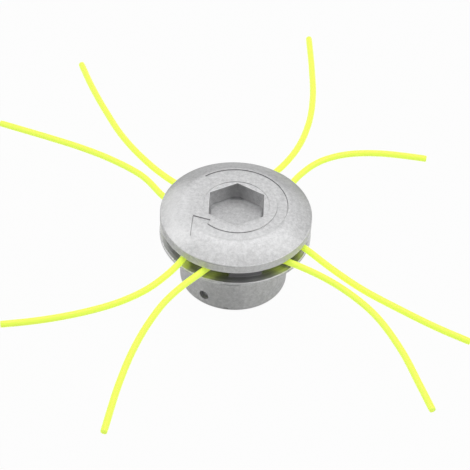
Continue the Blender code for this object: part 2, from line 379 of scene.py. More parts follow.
# Distance from the head's axis, and height
def axisCoords(tree):
    split = addNode(tree, "ShaderNodeSeparateXYZ", Vector=objectCoords(tree))
    flat = addNode(tree, "ShaderNodeCombineXYZ", X=split.outputs["X"], Y=split.outputs["Y"])
    length = addNode(tree, "ShaderNodeVectorMath", {"operation": "LENGTH"}, Vector=flat.outputs[0])
    return length.outputs["Value"], split.outputs["Z"]


# Roughness and bump both follow the relief
reliefRange = (0.3, 0.7)


def finishMetal(tree, shader, finish, colour, relief):
    bump = addNode(tree, "ShaderNodeBump", Height=relief, **finish["bump"])
    feed(tree, shader.inputs["Base Color"], colour)
    feed(tree, shader.inputs["Roughness"], addMapRange(tree, relief, reliefRange, finish["rough"]))
    feed(tree, shader.inputs["Normal"], bump.outputs["Normal"])


aluminiumFinish = {
    "asCast": {
        "dark": (0.49, 0.49, 0.495, 1),
        "light": (0.675, 0.675, 0.68, 1),
        "own": {"Metallic": 0.6},
        "rough": (0.48, 0.66),
        "bump": {"Strength": 0.6, "Distance": 0.05 * mm},
    },
    "turned": {
        "dark": (0.58, 0.58, 0.585, 1),
        "light": (0.76, 0.76, 0.765, 1),
        "own": {"Metallic": 0.9},
        "rough": (0.34, 0.48),
        "bump": {"Strength": 0.6, "Distance": 0.02 * mm},
    },
    # The bright colour stands for worn edges and painted light, the dark one for painted shade
    "wornAndLit": (0.93, 0.93, 0.935, 1),
    "paintedShade": (0.16, 0.16, 0.165, 1),
    "mottle": {"Scale": 480, "Detail": 4.0, "Roughness": 0.85},
    "grain": {"Scale": 1500, "Detail": 2.0, "Roughness": 0.5},
    "toolMarks": {"Scale": 2200, "Detail": 2.0},
    "patternRange": (0.36, 0.64),
}


# Colour varies between dark and light, and by the vertex tone goes towards a bright colour for worn edges
# and painted light, and towards a dark colour for painted shade
def paintAluminium(tree, s, finish, pattern):
    lightAndWear = addNode(tree, "ShaderNodeAttribute", {"attribute_name": "paintedLightAndWear"}).outputs["Fac"]
    share = addMapRange(tree, pattern, s["patternRange"])
    colour = addMix(tree, share, finish["dark"], finish["light"])
    for name, full in (("wornAndLit", 1.0), ("paintedShade", -1.0)):
        colour = addMix(tree, addMapRange(tree, lightAndWear, (0.0, full)), colour, s[name])
    return colour


def makeCastAluminium(s):
    finish = s["asCast"]
    material, tree, shader = newMaterial("castAluminium", finish["own"])
    colour = paintAluminium(tree, s, finish, addNoise(tree, objectCoords(tree), s["mottle"]))
    finishMetal(tree, shader, finish, colour, addNoise(tree, objectCoords(tree), s["grain"]))
    return material


# Tool marks run round the axis, so the pattern is read by radius and height
def makeTurnedAluminium(s):
    finish = s["turned"]
    material, tree, shader = newMaterial("turnedAluminium", finish["own"])
    radius, height = axisCoords(tree)
    turned = addNode(tree, "ShaderNodeCombineXYZ", X=radius, Z=height)
    marks = addNoise(tree, turned.outputs[0], s["toolMarks"])
    finishMetal(tree, shader, finish, paintAluminium(tree, s, finish, marks), marks)
    return material


nylonFinish = {
    "pale": (0.68, 0.82, 0.08, 1),
    "deep": (0.61, 0.77, 0.05, 1),
    "own": {
        "Roughness": 0.38,
        "Subsurface Weight": 0.25,
        "Subsurface Radius": (1.0, 1.0, 0.3),
        "Subsurface Scale": 1.2 * mm,
        "Emission Color": (0.78, 0.98, 0.11, 1),
    },
    "streak": {"Scale": 1.0, "Detail": 3.0},
    "streakStretch": (900, 900, 25),
    "bump": {"Strength": 0.08, "Distance": 0.03 * mm},
    # The emission strength is a painted glow, and it fades as painted shade between the two gap radii
    "paintedGlow": (0.04, 0.68),
    "gapShade": (30.5 * mm, 41.5 * mm),
}


# The line carries a painted glow, which fades as painted shade further inside the gap
def makeLineNylon(s):
    material, tree, shader = newMaterial("lineNylon", s["own"])
    along = addNode(tree, "ShaderNodeAttribute", {"attribute_name": "lineCoords"}).outputs["Vector"]
    stretched = addNode(tree, "ShaderNodeMapping", Vector=along, Scale=s["streakStretch"])
    streak = addNoise(tree, stretched.outputs["Vector"], s["streak"])
    bump = addNode(tree, "ShaderNodeBump", Height=streak, **s["bump"])
    fromAxis, height = axisCoords(tree)
    feed(tree, shader.inputs["Base Color"], addMix(tree, streak, s["deep"], s["pale"]))
    feed(tree, shader.inputs["Normal"], bump.outputs["Normal"])
    feed(tree, shader.inputs["Emission Strength"], addMapRange(tree, fromAxis, s["gapShade"], s["paintedGlow"]))
    return material


steelFinish = {
    "zinc": {
        "dark": (0.46, 0.47, 0.50, 1),
        "light": (0.66, 0.67, 0.69, 1),
        "own": {"Metallic": 1.0},
        "rough": (0.22, 0.38),
        "bump": {"Strength": 0.2, "Distance": 0.02 * mm},
    },
    "black": {
        "dark": (0.030, 0.030, 0.034, 1),
        "light": (0.070, 0.070, 0.078, 1),
        "own": {"Metallic": 0.9},
        "rough": (0.32, 0.5),
        "bump": {"Strength": 0.2, "Distance": 0.02 * mm},
    },
    "grain": {"Scale": 1400, "Detail": 3.0},
}


def makeSteel(name, s, finish):
    material, tree, shader = newMaterial(name, finish["own"])
    grain = addNoise(tree, objectCoords(tree), s["grain"])
    finishMetal(tree, shader, finish, addMix(tree, grain, finish["dark"], finish["light"]), grain)
    return material


castAluminium = makeCastAluminium(aluminiumFinish)
turnedAluminium = makeTurnedAluminium(aluminiumFinish)
lineNylon = makeLineNylon(nylonFinish)
zincSteel = makeSteel("zincSteel", steelFinish, steelFinish["zinc"])
blackSteel = makeSteel("blackSteel", steelFinish, steelFinish["black"])
print("materials made")


# The faces that look into the gap between the castings are turned
def turnGap(mesh, slack=0.05 * mm):
    mesh.materials.append(turnedAluminium)
    low, high = cover["underside"] - layout["gap"] - slack, cover["underside"] + slack
    inner, outer = layout["turned"]
    for polygon in mesh.polygons:
        if low < polygon.center.z < high and inner < polygon.center.xy.length < outer:
            polygon.material_index = 1


# A finished piece takes its material, rides on the body and stands for its solids
def finishPiece(name, mesh, material, nodes):
    piece = newObject(name, mesh)
    mesh.materials.clear()
    mesh.materials.append(material)
    if name in ("coverCasting", "hubCasting"):
        turnGap(mesh)
    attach(piece, "root")
    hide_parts(*nodes)


def evaluatedMesh(ob, name):
    graph = bpy.context.evaluated_depsgraph_get()
    mesh = bpy.data.meshes.new_from_object(ob.evaluated_get(graph), depsgraph=graph)
    mesh.name = name
    return mesh


# Geometry Nodes: a tree with named inputs, ending in Realize Instances and Set Material
def newGeometryTree(name, sizes):
    tree = bpy.data.node_groups.new(name, "GeometryNodeTree")
    tree.interface.new_socket("Geometry", in_out="INPUT", socket_type="NodeSocketGeometry")
    for label, size in sizes.items():
        kind = "NodeSocketInt" if isinstance(size, int) else "NodeSocketFloat"
        tree.interface.new_socket(label, in_out="INPUT", socket_type=kind)
    tree.interface.new_socket("Material", in_out="INPUT", socket_type="NodeSocketMaterial")
    tree.interface.new_socket("Geometry", in_out="OUTPUT", socket_type="NodeSocketGeometry")
    return tree, addNode(tree, "NodeGroupInput")


def endGeometryTree(tree, entry, geometry):
    realized = addNode(tree, "GeometryNodeRealizeInstances", Geometry=geometry)
    painted = addNode(tree, "GeometryNodeSetMaterial", Geometry=realized.outputs[0],
                      Material=entry.outputs["Material"])
    leave = addNode(tree, "NodeGroupOutput")
    tree.links.new(painted.outputs[0], leave.inputs[0])


# Runs a tree on a helper object and returns the result as a plain mesh
def grown(helper, tree, sizes, material, name):
    modifier = helper.modifiers.new(tree.name, "NODES")
    modifier.node_group = tree
    values = {**sizes, "Material": material}
    for item in tree.interface.items_tree:
        if item.in_out == "INPUT" and item.name in values:
            modifier[item.identifier] = values[item.name]
    mesh = evaluatedMesh(helper, name)
    helper.modifiers.remove(modifier)
    bpy.data.objects.remove(helper, do_unlink=True)
    return mesh


# Trimmer lines: plan points of the free ends, from the tip to the head, as in the solids
lineSet = {
    "droop": 3.0 * mm,
    "reach": 120.0 * mm,
    "step": 6.0 * mm,
}
lineSizes = {
    "Diameter": layout["lineDiameter"],
    "Step": 1.6 * mm,
    "Sides": 20,
    "Cut Rounding": 0.6 * mm,
    "Cut Share": 0.93,
}
lineEnds = {
    "trimmer_line_front": (
        [(-0.0570, -0.1435), (-0.0520, -0.1130), (-0.0475, -0.0940), (-0.0410, -0.0750),
         (-0.0325, -0.0575), (-0.0265, -0.0490)],
        [(0.0990, -0.1195), (0.0935, -0.1050), (0.0848, -0.0827), (0.0700, -0.0575),
         (0.0600, -0.0470), (0.0500, -0.0388)]),
    "trimmer_line_right": (
        [(0.1195, -0.0740), (0.1045, -0.0668), (0.0850, -0.0555), (0.0650, -0.0423),
         (0.0495, -0.0287)],
        [(0.1025, 0.0607), (0.0909, 0.0619), (0.0740, 0.0624), (0.0561, 0.0591),
         (0.0435, 0.0522), (0.0350, 0.0430)]),
    "trimmer_line_back": (
        [(0.0375, 0.1645), (0.0393, 0.1350), (0.0400, 0.1080), (0.0378, 0.0845),
         (0.0310, 0.0608), (0.0248, 0.0488)],
        [(-0.0930, 0.1293), (-0.0865, 0.1119), (-0.0755, 0.0870), (-0.0638, 0.0646),
         (-0.0505, 0.0463), (-0.0405, 0.0355)]),
    "trimmer_line_left": (
        [(-0.1325, 0.0737), (-0.1200, 0.0687), (-0.1025, 0.0617), (-0.0850, 0.0543),
         (-0.0681, 0.0455), (-0.0515, 0.0338)],
        [(-0.1138, -0.0784), (-0.1013, -0.0763), (-0.0859, -0.0726), (-0.0709, -0.0675),
         (-0.0563, -0.0606), (-0.0424, -0.0503), (-0.0344, -0.0411)]),
}


def bendPoints(azimuth):
    radius, angle = layout["bendRadius"], layout["bendAngle"]
    side, lead = radius * math.sin(angle), layout["leadOut"]
    out = bendCentre - radius * math.cos(angle)
    ahead, beside = lead * math.sin(angle), lead * math.cos(angle)
    points = [fromPost(azimuth, -side - beside, out + ahead)]
    points += [onBend(azimuth, radius, turn) for turn in spread(-angle, angle, 9)]
    return points + [fromPost(azimuth, side + beside, out + ahead)]


# A smooth curve through the given points, read at even steps
def smoothRoute(points, step, parts=20):
    gaps = [math.dist(a, b) for a, b in zip(points, points[1:])]
    runs = [[(q - p) / gap for p, q in zip(a, b)] for a, b, gap in zip(points, points[1:], gaps)]
    slopes = [runs[0]]
    for i in range(1, len(runs)):
        share = gaps[i - 1] / (gaps[i - 1] + gaps[i])
        slopes.append([p * (1 - share) + q * share for p, q in zip(runs[i - 1], runs[i])])
    slopes.append(runs[-1])
    fine = []
    for i, gap in enumerate(gaps):
        for k in range(parts):
            t = k / parts
            fine.append([
                p * (2 * t ** 3 - 3 * t ** 2 + 1) + q * (3 * t ** 2 - 2 * t ** 3)
                + gap * (m * (t ** 3 - 2 * t ** 2 + t) + n * (t ** 3 - t ** 2))
                for p, q, m, n in zip(points[i], points[i + 1], slopes[i], slopes[i + 1])])
    fine.append(points[-1])
    travelled = [0.0]
    for a, b in zip(fine, fine[1:]):
        travelled.append(travelled[-1] + math.dist(a, b))
    count = round(travelled[-1] / step)
    route = []
    i = 0
    for k in range(count + 1):
        target = travelled[-1] * k / count
        while i < len(fine) - 2 and travelled[i + 1] < target:
            i += 1
        share = (target - travelled[i]) / (travelled[i + 1] - travelled[i])
        route.append([p + (q - p) * share for p, q in zip(fine[i], fine[i + 1])])
    return route


def lineHeightAt(x, y):
    beyond = max(0.0, math.hypot(x, y) - coverHigh.x)
    return layout["lineHeight"] - lineSet["droop"] * (beyond / lineSet["reach"]) ** 2


def storedOn(tree, geometry, kind, name, value):
    node = addNode(tree, "GeometryNodeStoreNamedAttribute", {"data_type": kind, "domain": "POINT"},
                   Geometry=geometry, Name=name, Value=value)
    return node.outputs[0]


def readBack(tree, kind, name):
    node = addNode(tree, "GeometryNodeInputNamedAttribute", {"data_type": kind}, Name=name)
    return node.outputs["Attribute"]


# Sweeps the line's round section along its route, a little narrower at the two cut ends
def makeLineTree(sizes):
    tree, entry = newGeometryTree("sweptLine", sizes)
    get = entry.outputs
    resampled = addNode(tree, "GeometryNodeResampleCurve", {"mode": "LENGTH"}, Curve=get["Geometry"],
                        Length=get["Step"])
    progress = addNode(tree, "GeometryNodeSplineParameter").outputs["Length"]
    total = addNode(tree, "GeometryNodeSplineLength").outputs["Length"]
    toEnd = addMath(tree, "MINIMUM", progress, addMath(tree, "SUBTRACT", total, progress))
    narrow = addNode(tree, "ShaderNodeMapRange", Value=toEnd, From_Min=0.0, From_Max=get["Cut Rounding"],
                     To_Min=get["Cut Share"], To_Max=1.0)
    section = addNode(tree, "GeometryNodeCurvePrimitiveCircle", Resolution=get["Sides"],
                      Radius=addMath(tree, "MULTIPLY", get["Diameter"], 0.5))
    around = addNode(tree, "GeometryNodeInputPosition").outputs[0]
    profile = storedOn(tree, section.outputs["Curve"], "FLOAT_VECTOR", "around", around)
    route = storedOn(tree, resampled.outputs[0], "FLOAT", "along", progress)
    swept = addNode(tree, "GeometryNodeCurveToMesh", Curve=route, Profile_Curve=profile,
                    Scale=narrow.outputs["Result"], Fill_Caps=True)
    split = addNode(tree, "ShaderNodeSeparateXYZ", Vector=readBack(tree, "FLOAT_VECTOR", "around"))
    coords = addNode(tree, "ShaderNodeCombineXYZ", X=split.outputs["X"], Y=split.outputs["Y"],
                     Z=readBack(tree, "FLOAT", "along"))
    stored = storedOn(tree, swept.outputs[0], "FLOAT_VECTOR", "lineCoords", coords.outputs[0])
    smooth = addNode(tree, "GeometryNodeSetShadeSmooth", Geometry=stored)
    endGeometryTree(tree, entry, smooth.outputs[0])
    return tree


lineTree = makeLineTree(lineSizes)


def makeLine(node, azimuth):
    firstEnd, secondEnd = lineEnds[node]
    plan = smoothRoute(firstEnd + bendPoints(azimuth) + secondEnd[::-1], lineSet["step"])
    plan = smoothRoute(plan, lineSizes["Step"])
    curve = bpy.data.curves.new(node, "CURVE")
    curve.dimensions = "3D"
    spline = curve.splines.new("POLY")
    spline.points.add(len(plan) - 1)
    for point, (x, y) in zip(spline.points, plan):
        point.co = (x, y, lineHeightAt(x, y), 1.0)
    name = "trimmerLine" + node.rsplit("_", 1)[1].capitalize()
    mesh = grown(newObject(name + "Route", curve), lineTree, lineSizes, lineNylon, name)
    mesh.set_sharp_from_angle(angle=castSharp)
    finishPiece(name, mesh, lineNylon, [node])
    print(name, "length", round(sum(math.dist(a, b) for a, b in zip(plan, plan[1:])) / mm), "mm")


for node, azimuth in zip(lineEnds, bendAzimuths):
    makeLine(node, azimuth)


# Cover casting: domed disc with a hex wrench recess, a shallow round seat about it and a sunken arrow
cover = {
    "radius": coverHigh.x,
    "top": coverHigh.z,
    "underside": 38.6 * mm,
    "rimHeight": 5.0 * mm,
    "rimEdge": 0.5 * mm,
    "domeRise": 6.4 * mm,
    "flatRadius": 28.0 * mm,
    "domePower": 1.35,
    "sides": 288,
    "hexAcrossFlats": 28.4 * mm,
    "hexDepth": 10.3 * mm,
    "hexEdge": 0.25 * mm,
    "hexDraft": 0.12 * mm,
    "hexFillet": 1.4 * mm,
    "seatRadius": 17.1 * mm,
    "seatDepth": 0.25 * mm,
    "arrowDepth": 0.5 * mm,
    "arrowInner": 21.25 * mm,
    "arrowOuter": 26.8 * mm,
    "arrowTail": math.radians(130.5),
    "arrowNeckInner": math.radians(228.0 - 360),
    "arrowNeckOuter": math.radians(229.8 - 360),
    "barbInner": (18.2 * mm, math.radians(224.5 - 360)),
    "tip": (24.3 * mm, math.radians(204.6 - 360)),
    "barbOuter": (33.0 * mm, math.radians(225.9 - 360)),
    "coreRadius": 26.0 * mm,
    "coreClearance": 1.5 * mm,
    "nutFlats": 19.6 * mm,
    "nutPocketTop": 35.4 * mm,
    "threadDepth": screwHigh.z - coverLow.z + 0.5 * mm,
    "threadRadius": 2.8 * mm,
}


# Height of the cover's plain outside at a distance from the axis
def domeHeight(x, y):
    c = cover
    share = (math.hypot(x, y) - c["flatRadius"]) / (c["radius"] - c["rimEdge"] - c["flatRadius"])
    return c["top"] - c["domeRise"] * max(0.0, share) ** c["domePower"]


# Counterclockwise round the arrow: outer arc from the neck to the tail, inner arc to the neck, head
def arrowOutline():
    c = cover
    outer = arc((0, 0), c["arrowOuter"], c["arrowNeckOuter"], c["arrowTail"], 160)
    inner = arc((0, 0), c["arrowInner"], c["arrowTail"], c["arrowNeckInner"], 130)
    head = [polar(*c[name]) for name in ("barbInner", "tip", "barbOuter")]
    return refined(outer + inner + head, 0.8 * mm)


# Hexagon seen from above, with its corners cut back to a round of the given radius
def hexLoop(acrossFlats, cornerRound=math.inf, count=144):
    points = []
    for k in range(count):
        angle = math.tau * k / count
        turn = (angle + math.radians(30)) % math.radians(60) - math.radians(30)
        points.append(polar(min(acrossFlats / 2 / math.cos(turn), cornerRound), angle))
    return points


# The cover's core has four hollows that the lines bend along
def coreOutline():
    hollow = layout["bendRadius"] + layout["lineDiameter"] / 2 + cover["coreClearance"]
    radius = cover["coreRadius"]
    meet = math.acos((radius ** 2 + bendCentre ** 2 - hollow ** 2) / (2 * radius * bendCentre))
    swing = math.asin(radius * math.sin(meet) / hollow)
    outline = []
    for azimuth in bendAzimuths:
        outline += [onBend(azimuth, hollow, angle) for angle in spread(-swing, swing, 21)]
        turns = spread(0, quarter - 2 * meet, 10)[1:-1]
        outline += [polar(radius, azimuth + meet + turn) for turn in turns]
    return outline


# Painted light on the left and front of the top and on the rim's front, painted shade at the back, on the
# outer slope and in a crease under the rim's upper edge at the front.
# Painted shade lies in the seat's step, along the arrow's edge and walls and in the recess's foot. Here z
# counts from the rim's upper edge.
coverLightAndShade = {
    "rim": [
        (0.12, {"turn": (-112, -94, -15, -1)}),
        (0.1, {"turn": (-98, -70, -15, -1)}),
        (-0.4, {"z": (-0.8 * mm, -0.4 * mm, -0.2 * mm, 0.2 * mm), "turn": (-120, -110, -94, -84)}),
    ],
    "top": [
        (0.45, {"x": (-20 * mm, -34 * mm), "y": (26 * mm, 8 * mm)}),
        (0.17, {"y": (-12 * mm, -24 * mm)}),
        (-0.068, {"y": (-25.5 * mm, -27.5 * mm)}),
        (0.06, {"y": (-30 * mm, -34 * mm), "x": (6 * mm, -6 * mm)}),
        (-0.28, {"y": (5 * mm, 20 * mm), "radius": (25.5 * mm, 28.5 * mm)}),
        (-0.12, {"radius": (34 * mm, 39.5 * mm)}),
    ],
    "seatStep": [(-0.2, {}), (-0.8, {"back": (0.7, 0.95)})],
    "arrowEdge": [(-0.45, {"turn": (-135, -110, -65, -45), "radius": (24.3 * mm, 24.5 * mm)})],
    "arrowWall": [(-1.0, {}), (0.9, {"turn": (-78, -50), "radius": (24.5 * mm, 24.3 * mm)})],
    "recessFoot": [(-0.6, {}), (-0.4, {"back": (0.95, 0.99)})],
}
seatStepShade, arrowEdgeShade, arrowWallShade, recessFootShade = (
    partial(patches, coverLightAndShade[zone]) for zone in ("seatStep", "arrowEdge", "arrowWall", "recessFoot"))


# Painted shade on the recess's walls, deepest at its front and back corners
def recessWallShade(x, y):
    return -0.02 - 0.5 * (y / math.hypot(x, y)) ** 6


def coverTone(x, y, z):
    if z < cover["underside"] + 0.5 * mm:
        return 0.0
    zone = "rim" if math.hypot(x, y) > cover["radius"] - 0.6 * cover["rimEdge"] else "top"
    return patches(coverLightAndShade[zone], x, y, z - cover["underside"] - cover["rimHeight"])


# Rows across a step of the cover: shift outwards in mm, share of the depth, tone of painted light and
# shade. The recess's rows have an angle and a tone (the bright worn edge with a painted highlight) or
# share of the painted shade at the foot, the core's a shift and a height in mm.
arrowRows = ((0.28, 0, 0), (0.06, 0.02, arrowEdgeShade), (0.01, 0.12, -0.4), (-0.04, 0.8, arrowWallShade),
             (-0.12, 1, arrowWallShade), (-0.3, 1, 0))
seatRows = ((0.35, 0, 0), (0.06, 0.04, 0), (0, 0.4, seatStepShade), (-0.07, 0.96, seatStepShade), (-0.2, 1, 0))
recessEdgeRows = ((90, 0), (115, 0.6), (140, 0.6), (160, 0.6), (180, 0))
recessFootRows = ((20, 1), (40, 1), (60, 1), (75, 0.6), (90, 0.2))
coreFootRows = ((0.9, 0), (0.5, -0.1), (0.15, -0.5), (0, -1.0))
coreEndRows = ((-0.05, 0.3), (-0.15, 0.08), (-0.35, 0))


# Loops of the recess, from its upper edge, worn and with a painted highlight, down the walls and round
# the fillet, both in painted shade, to its floor with a little painted shade
def recessLoops(c, seat):
    flats, edge, fillet = c["hexAcrossFlats"], c["hexEdge"], c["hexFillet"]
    floor, foot = c["top"] - c["hexDepth"], flats - 2 * c["hexDraft"]
    loops = []
    for angle, lightAndWear in recessEdgeRows:
        x, z = polar(edge, math.radians(angle), (edge, seat - edge))
        loops.append((hexLoop(flats + 2 * x), z, lightAndWear))
    loops.append((hexLoop(flats - 0.02 * mm), seat - 1.2 * mm, recessWallShade))
    loops.append((hexLoop(foot, flats * 0.55), floor + fillet, recessWallShade))
    for angle, shadeShare in recessFootRows:
        shift = fillet * (1 - math.cos(math.radians(angle)))
        z = floor + fillet * (1 - math.sin(math.radians(angle)))
        outline = hexLoop(foot - 2 * shift, flats * 0.54 - shift * 1.3)
        loops.append((outline, z, lambda x, y, d=shadeShare: d * recessFootShade(x, y)))
    return loops + [(circle(flats * 0.36, 120), floor, -0.08)]


def makeCover(c):
    shape = newShape()
    radius, under, edge, depth = c["radius"], c["underside"], c["rimEdge"], c["arrowDepth"]
    rimRing = circle(radius - edge, c["sides"])
    arrow = arrowOutline()
    loops = [(rimRing, domeHeight, -0.1)]
    for shift, sunk, lightAndWear in arrowRows:
        loops.append((offset(arrow, shift * mm),
                      lambda x, y, s=sunk: domeHeight(x, y) - s * depth, lightAndWear))
    for shift, sunk, lightAndWear in seatRows:
        loops.append((circle(c["seatRadius"] + shift * mm, 160), c["top"] - sunk * c["seatDepth"], lightAndWear))
    loops += recessLoops(c, c["top"] - c["seatDepth"])
    flat = offset(arrow, -0.2 * mm)

    def heightAt(x, y):
        return domeHeight(x, y) - (depth if inside(x, y, flat) else 0.0)

    spots = freeSpots(loops, c["seatRadius"] + 0.5 * mm, radius - edge, 1.0 * mm, heightAt)
    addSheet(shape, loops, spots)
    # The rim's profile has a painted highlight on its lower rounding and painted shade at the underside's
    # outer edge
    foot, rimTop = edge / 2, under + c["rimHeight"]
    profile = [(radius - edge, domeHeight(radius - edge, 0), -0.1)]
    profile += rounding(radius - edge, rimTop - edge, edge, 62, 0, -0.01)[1:]
    profile += [(radius, rimTop - 1.0 * mm, 0), (radius, under + 1.2 * mm, 0)]
    profile += rounding(radius - foot, under + foot, foot, 0, -60, 0.3)
    profile.append((radius - edge, under, -0.4))
    addTurned(shape, profile, c["sides"])
    low = coverLow.z
    core = coreOutline()
    # The cover's underside in the gap is in painted shade, darkest at the core's foot
    loops = [(rimRing, under, -0.3)]
    for shift, z in coreFootRows:
        loops.append((offset(core, shift * mm), under + z * mm, -0.6))
    for shift, z in coreEndRows:
        loops.append((offset(core, shift * mm), low + z * mm, 0))
    loops += [(hexLoop(c["nutFlats"]), low, 0), (hexLoop(c["nutFlats"] - 0.1 * mm), c["nutPocketTop"], 0)]
    for place in screwPlaces:
        loops.append((circle(c["threadRadius"], 32, place), low, 0))
        loops.append((circle(c["threadRadius"] - 0.05 * mm, 32, place), low + c["threadDepth"], 0))
    addSheet(shape, loops)
    addPaintedLightAndShade(shape, coverTone)
    mesh = closedMesh(shape, "coverCasting")
    finishPiece("coverCasting", mesh, castAluminium, ["cover_disc"])


makeCover(cover)


# Hub casting: flange with four posts on it, skirt with the pin hole, and the boss inside the cup
hub = {
    "flangeRadius": hubHigh.x,
    "postTop": hubHigh.z,
    "flangeTop": 31.5 * mm,
    "flangeUnder": 29.4 * mm,
    "flangeChamfer": 0.28 * mm,
    "skirtRadius": 28.5 * mm,
    "skirtWall": 3.0 * mm,
    "skirtEdge": 0.6 * mm,
    "fillet": 1.5 * mm,
    "ceiling": 26.8 * mm,
    "bossRadius": 12.5 * mm,
    "bossEnd": 21.8 * mm,
    "bore": 8.3 * mm,
    "sides": 288,
    "boreSides": 144,
    "postWidth": 17.4 * mm,
    "postFace": 34.9 * mm,
    "postCorner": 0.7 * mm,
    "screwHole": 2.8 * mm,
    "screwHoleSides": 32,
    "pinHoleRadius": 2.8 * mm,
    "pinHoleHeight": 6.0 * mm,
    "pinHoleAzimuth": math.radians(238.8),
    "nickAzimuth": math.radians(264.2),
    "nickRadius": 1.1 * mm,
}
# Rows at the posts' foot and top edge: a shift and a height in mm. Rings on the flange and skirt, in mm.
postFootRows = ((0.15, 0), (0.05, 0.1), (0, 0.35))
postTopRows = ((-0.05, -0.3), (-0.13, -0.08), (-0.3, 0))
flangeRings = (0.3, 1.2, 3.6)
skirtRings = (26, 22, 18, 14, 10.5, 9, 7.5, 6, 4.5, 3, 1.8)


def postOutline(azimuth):
    half = hub["postWidth"] / 2
    innerRadius = layout["bendRadius"] - layout["lineDiameter"] / 2 - layout["clearance"]
    outerSwing, innerSwing = math.asin(half / hub["postFace"]), math.asin(half / innerRadius)
    bend = azimuth + layout["bendOffset"]
    outline = [polar(hub["postFace"], azimuth + angle) for angle in spread(-outerSwing, outerSwing, 25)]
    outline += [onBend(bend, innerRadius, angle) for angle in spread(innerSwing, -innerSwing, 25)]
    return refined(softened(outline, hub["postCorner"]), 0.7 * mm)


# The piece's mesh with the cutters' shapes taken out
def cutAway(piece, cutters):
    for cutter in cutters:
        modifier = piece.modifiers.new(cutter.name, "BOOLEAN")
        modifier.operation = "DIFFERENCE"
        modifier.solver = "EXACT"
        modifier.object = cutter
    mesh = evaluatedMesh(piece, "cutPiece")
    for ob in [piece, *cutters]:
        bpy.data.objects.remove(ob, do_unlink=True)
    mesh.set_sharp_from_angle(angle=castSharp)
    return mesh


# A drill that points outwards from the axis at an azimuth
def drill(name, radius, height, azimuth, near, far, sides=48):
    shape = bmesh.new()
    size = {"radius1": radius, "radius2": radius, "depth": far - near}
    bmesh.ops.create_cone(shape, cap_ends=True, segments=sides, **size)
    turn = Matrix.Rotation(azimuth, 4, "Z") @ Matrix.Rotation(math.pi / 2, 4, "Y")
    reach = Matrix.Translation((0, 0, (near + far) / 2))
    lift = Matrix.Translation((0, 0, height))
    bmesh.ops.transform(shape, matrix=lift @ turn @ reach, verts=shape.verts)
    return newObject(name, toMesh(shape, name))


# Painted light and shade on the hub: the flange's top is painted bright but for painted shade at its
# front and right, its edges have painted shade at the front, the posts are in painted shade, a painted
# shadow line runs under the flange at the front, and the skirt is painted darker at the left and low down
# and lighter at the right and high up
hubLightAndShade = {
    "postFace": [(-0.4, {})],
    "flangeEdge": [(-0.25, {}), (-0.5, {"turn": (-116, -106, -82, -72)})],
    "flangeTop": [
        (0.75, {}),
        (-0.25, {"turn": (-116, -106, -82, -72)}),
        (-0.7, {"turn": (-122, -110, -40, -10)}),
        (-0.6, {"turn": (-45, -38, -24, -17)}),
    ],
    "flangeFoot": [(-0.7, {"turn": (-100, -96, -86, -82)})],
    "skirt": [
        (0.08, {"turn": (-80, -60, -40, -10)}),
        (-0.16, {"turn": (-128, -112, -88, -72)}),
        (0.15, {"z": (14 * mm, 26 * mm)}),
    ],
    "hidden": [],
}


def hubTone(x, y, z):
    h, radius, zone = hub, math.hypot(x, y), "hidden"
    if h["postFace"] - 0.4 * mm < radius < h["postFace"] + 0.3 * mm and z > h["flangeTop"] + 0.05 * mm:
        zone = "postFace"
    elif radius > h["flangeRadius"] - 0.4 * mm and z > h["flangeTop"] - 0.5 * mm:
        zone = "flangeEdge"
    elif radius > h["postFace"] and abs(z - h["flangeTop"]) < 0.05 * mm:
        zone = "flangeTop"
    elif radius > h["flangeRadius"] - 0.3 * mm and z < h["flangeUnder"] + 0.45 * mm:
        zone = "flangeFoot"
    elif radius > h["skirtRadius"] - 0.7 * mm and z < h["flangeUnder"] - 2 * mm:
        zone = "skirt"
    return patches(hubLightAndShade[zone], x, y, z)


